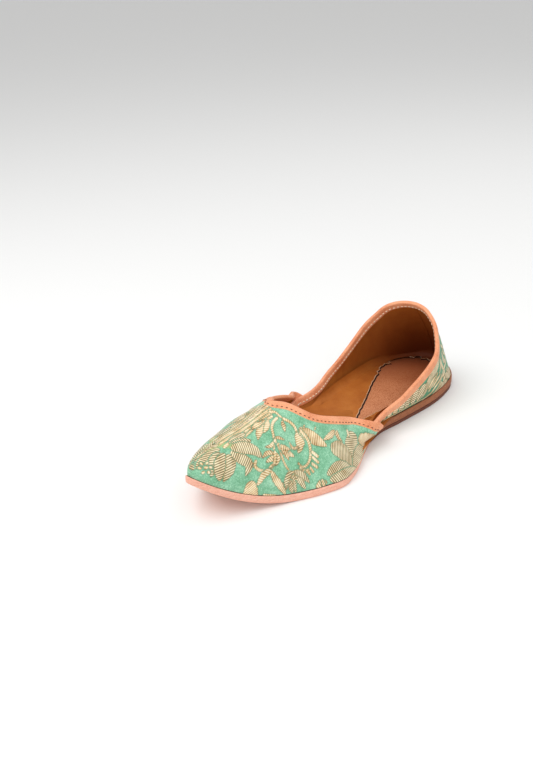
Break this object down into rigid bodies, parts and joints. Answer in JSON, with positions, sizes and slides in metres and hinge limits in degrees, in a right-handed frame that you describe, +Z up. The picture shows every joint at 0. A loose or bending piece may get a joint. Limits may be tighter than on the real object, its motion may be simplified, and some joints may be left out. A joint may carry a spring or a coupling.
{
  "type": "slip-on shoe",
  "caption": "Flat slip-on jutti shoe in floral brocade, with a curled pointed toe, a wide open throat, a leaning heel and leather bound edges on a leather sole.",
  "frame": {"origin": "on the floor, under the middle of the sole's length and width", "axes": "toe towards -Y, heel towards +Y, +Z up, +X across the shoe"},
  "size_m": [0.0908, 0.25, 0.0618],
  "materials": {
    "sole_leather": "matt",
    "heel_leather": "matt",
    "insole_leather": "matt",
    "brocade": "satin with metallic thread",
    "binding_leather": "satin"
  },
  "bodies": {
    "root": {"outsole": "sole_leather", "heel_lift": "heel_leather", "insole": "insole_leather", "upper": "brocade", "throat_binding": "binding_leather", "collar_binding": "binding_leather"}
  },
  "joints": []
}
